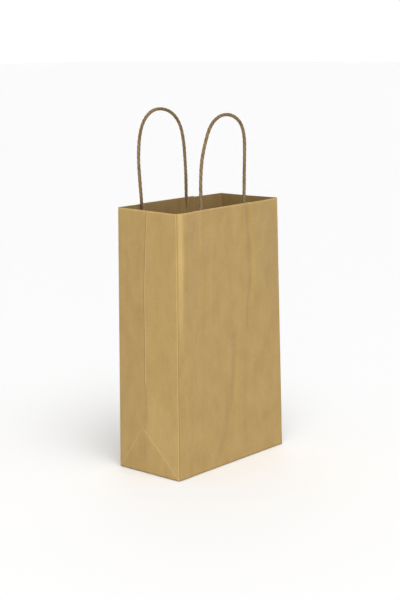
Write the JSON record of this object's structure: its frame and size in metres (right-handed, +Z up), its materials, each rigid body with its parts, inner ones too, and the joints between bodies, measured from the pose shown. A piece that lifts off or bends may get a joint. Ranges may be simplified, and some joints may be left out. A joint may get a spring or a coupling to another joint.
{
  "type": "gift bag",
  "caption": "Plain brown paper bag, open and standing, with pleated sides, a flat folded base and a twisted paper loop handle on each wall.",
  "frame": {"origin": "centre of the base, on the surface that the bag stands on", "axes": "+Z up to the mouth, -Y out of the front wall, +X to the right as seen from the front"},
  "size_m": [0.16, 0.078, 0.3449],
  "materials": {
    "kraft_paper": "matte, machine-finished brown kraft",
    "patch_paper": "matte brown kraft",
    "cord_paper": "matte twisted kraft cord"
  },
  "bodies": {
    "rear_wall_and_base": {"rear_wall": "kraft_paper", "side_seam_flap": "kraft_paper", "base_flap_front": "kraft_paper", "base_flap_rear": "kraft_paper", "left_base_tuck": "kraft_paper", "right_base_tuck": "kraft_paper", "rear_cord_ends": "cord_paper", "rear_backing_patch": "patch_paper", "rear_cover_patch": "patch_paper"},
    "left_gusset_rear": {"left_gusset_rear": "kraft_paper"},
    "left_gusset_front": {"left_gusset_front": "kraft_paper"},
    "front_wall": {"front_wall": "kraft_paper", "front_cord_ends": "cord_paper", "front_backing_patch": "patch_paper", "front_cover_patch": "patch_paper"},
    "right_gusset_front": {"right_gusset_front": "kraft_paper"},
    "right_gusset_rear": {"right_gusset_rear": "kraft_paper"},
    "front_handle": {"front_handle": "cord_paper"},
    "rear_handle": {"rear_handle": "cord_paper"}
  },
  "joints": [
    {"name": "fold", "type": "hinge", "parent": "rear_wall_and_base", "child": "left_gusset_rear", "pos_m": [-0.0798, 0.03845, 0.127], "axis": [0, 0, 1], "range_deg": [0, 82], "deforming": ["base_flap_front", "base_flap_rear", "left_base_tuck", "right_base_tuck"]},
    {"name": "left_centre_crease", "type": "hinge", "parent": "left_gusset_rear", "child": "left_gusset_front", "pos_m": [-0.08, -0.0001, 0.127], "axis": [0, 0, 1], "range_deg": [-164, 0]},
    {"name": "left_front_crease", "type": "hinge", "parent": "left_gusset_front", "child": "front_wall", "pos_m": [-0.0798, -0.03865, 0.127], "axis": [0, 0, 1], "range_deg": [0, 82]},
    {"name": "right_front_crease", "type": "hinge", "parent": "front_wall", "child": "right_gusset_front", "pos_m": [0.0798, -0.03865, 0.127], "axis": [0, 0, 1], "range_deg": [0, 82]},
    {"name": "right_centre_crease", "type": "hinge", "parent": "right_gusset_front", "child": "right_gusset_rear", "pos_m": [0.08, -0.0001, 0.127], "axis": [0, 0, 1], "range_deg": [-164, 0]},
    {"name": "front_handle_bend", "type": "hinge", "parent": "front_wall", "child": "front_handle", "pos_m": [-0.0075, -0.037, 0.259], "axis": [1, 0, 0], "range_deg": [-24, 120]},
    {"name": "rear_handle_bend", "type": "hinge", "parent": "rear_wall_and_base", "child": "rear_handle", "pos_m": [-0.0125, 0.0368, 0.259], "axis": [-1, 0, 0], "range_deg": [-24, 120]}
  ],
  "couplings": [
    {"joint": "left_centre_crease", "follows": "fold", "ratio": -2},
    {"joint": "left_front_crease", "follows": "fold", "ratio": 1},
    {"joint": "right_front_crease", "follows": "fold", "ratio": 1},
    {"joint": "right_centre_crease", "follows": "fold", "ratio": -2}
  ]
}
